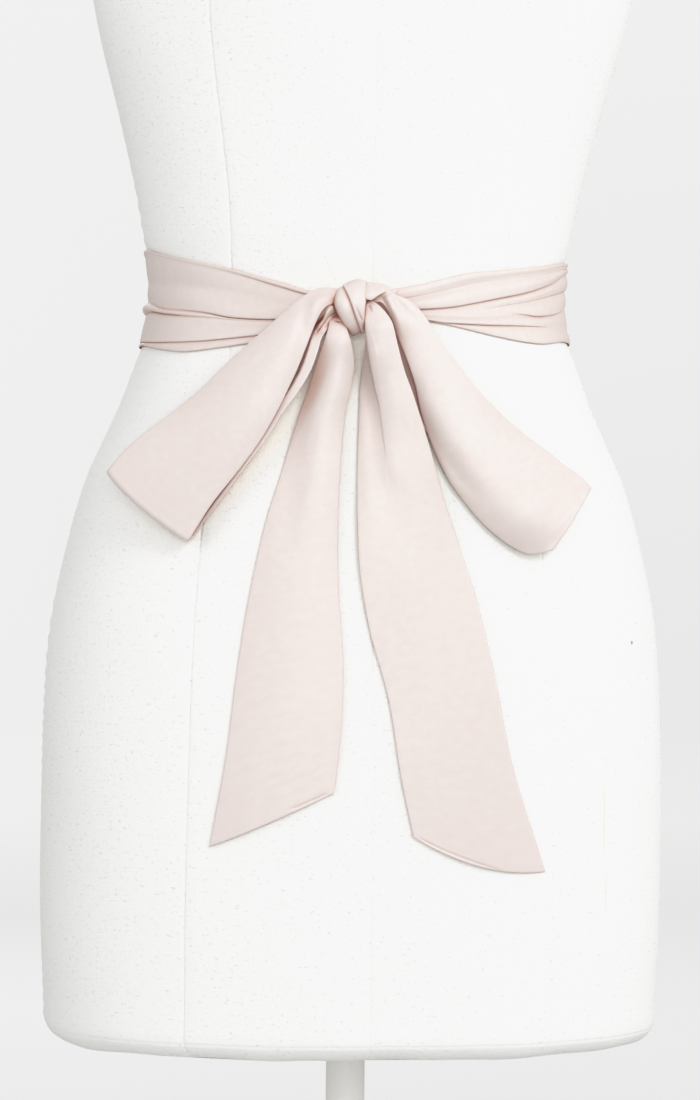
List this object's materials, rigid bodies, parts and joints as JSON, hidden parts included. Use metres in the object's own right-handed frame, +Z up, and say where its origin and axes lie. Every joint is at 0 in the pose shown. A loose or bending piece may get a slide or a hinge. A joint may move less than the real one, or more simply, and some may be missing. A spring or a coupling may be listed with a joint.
{
  "type": "satin sash on a dress form",
  "caption": "Pale blush satin sash wound round the waist of a limbless dress form and tied in a drooping bow at the centre front, on a plain round stand.",
  "frame": {"origin": "on the floor under the middle of the stand's round base", "axes": "+Z up, the form facing -Y, +X to the right in a front view"},
  "size_m": [0.4, 0.4, 1.1573],
  "materials": {
    "satin": "satin sheen",
    "canvas": "matt plain weave",
    "stand": "satin white paint"
  },
  "bodies": {
    "root": {"waist_band": "satin", "knot_wrap": "satin", "knot_turn": "satin", "loop_left": "satin", "loop_right": "satin", "tail_left": "satin", "tail_right": "satin", "form_torso": "canvas", "neck_cap": "stand", "stand_pole": "stand", "stand_base": "stand"}
  },
  "joints": []
}
